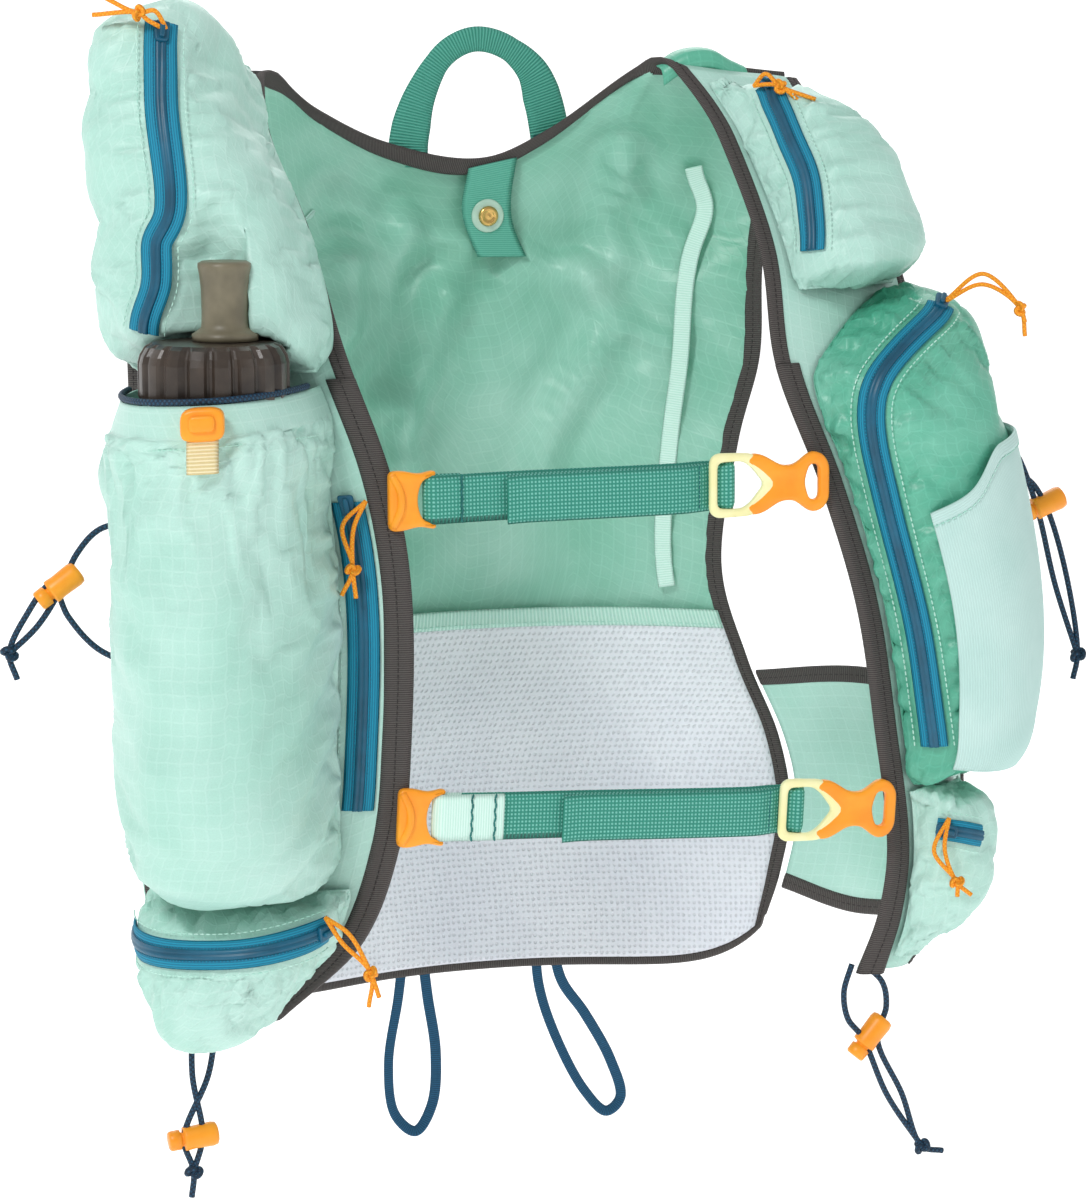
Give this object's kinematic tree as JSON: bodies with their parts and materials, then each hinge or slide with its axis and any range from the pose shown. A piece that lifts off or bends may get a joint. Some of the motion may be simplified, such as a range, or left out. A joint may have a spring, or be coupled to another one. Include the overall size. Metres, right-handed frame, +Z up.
{
  "type": "running hydration vest",
  "caption": "Sleeveless running vest with zipped chest pockets, a soft bottle in front, a mesh lower back, sternum straps and drawcords.",
  "frame": {"origin": "between the shoulders, at the height of the neck's sides, where a wearer's shoulders hold the vest", "axes": "+X to the wearer's left, +Y to the wearer's back, +Z up"},
  "size_m": [0.4918, 0.2757, 0.5256],
  "materials": {
    "binding": "matte grosgrain",
    "inner_cloth": "matte, see-through",
    "white_mesh": "matte spacer mesh",
    "mint_cloth": "matte ripstop",
    "smoked_plastic": "smoked",
    "valve_plastic": "smoked rubbery",
    "side_cloth": "matte, see-through",
    "stretch_cloth": "matte stretch weave",
    "zip_tape": "matte woven tape",
    "navy_cord": "braided elastic cord",
    "orange_plastic": "satin moulded",
    "cream_plastic": "satin moulded",
    "webbing": "ribbed webbing",
    "pale_tape": "satin tape",
    "pole_webbing": "flat webbing",
    "orange_cord": "braided cord"
  },
  "bodies": {
    "root": {"neck_binding": "binding", "back_binding": "binding", "back_panel": "inner_cloth", "back_mesh_panel": "white_mesh", "right_rail": "binding", "right_armhole_binding": "binding", "right_side_wing": "mint_cloth", "right_front_panel": "mint_cloth", "left_rail": "binding", "left_armhole_binding": "binding", "left_side_wing": "mint_cloth", "left_front_panel": "mint_cloth", "bottle_cap": "smoked_plastic", "bottle_valve": "valve_plastic", "bottle_body": "smoked_plastic", "pack_bag": "mint_cloth", "right_shoulder_pocket": "mint_cloth", "right_bottle_pocket": "mint_cloth", "right_bottom_pocket": "mint_cloth", "left_shoulder_pocket": "mint_cloth", "left_side_pocket": "side_cloth", "left_bottom_pocket": "mint_cloth", "left_stretch_pocket": "stretch_cloth", "right_shoulder_zip": "zip_tape", "right_bottom_zip": "zip_tape", "left_shoulder_zip": "zip_tape", "left_side_zip": "zip_tape", "left_bottom_zip": "zip_tape", "right_side_zip": "zip_tape", "bottle_pocket_cord": "navy_cord", "bottle_cord_lock": "orange_plastic", "upper_strap_hook": "orange_plastic", "upper_strap_slider": "cream_plastic", "upper_strap_buckle": "orange_plastic", "upper_strap_webbing": "webbing", "lower_strap_hook": "orange_plastic", "lower_strap_slider": "cream_plastic", "lower_strap_buckle": "orange_plastic", "lower_strap_webbing": "webbing", "lower_strap_tab": "pale_tape", "hang_loop": "webbing", "snap_tab": "webbing", "inner_tape": "pale_tape", "right_pole_loop": "pole_webbing", "left_pole_loop": "pole_webbing", "right_hem_cord": "navy_cord", "right_hem_toggle": "orange_plastic", "left_rail_cord": "navy_cord", "left_rail_toggle": "orange_plastic", "right_side_cord": "navy_cord", "right_side_toggle": "orange_plastic", "left_side_cord": "navy_cord", "left_side_toggle": "orange_plastic", "right_shoulder_zip_pull": "orange_cord", "right_side_zip_pull": "orange_cord", "right_bottom_zip_pull": "orange_cord", "left_shoulder_zip_pull": "orange_cord", "left_side_zip_pull": "orange_cord", "left_bottom_zip_pull": "orange_cord"}
  },
  "joints": []
}
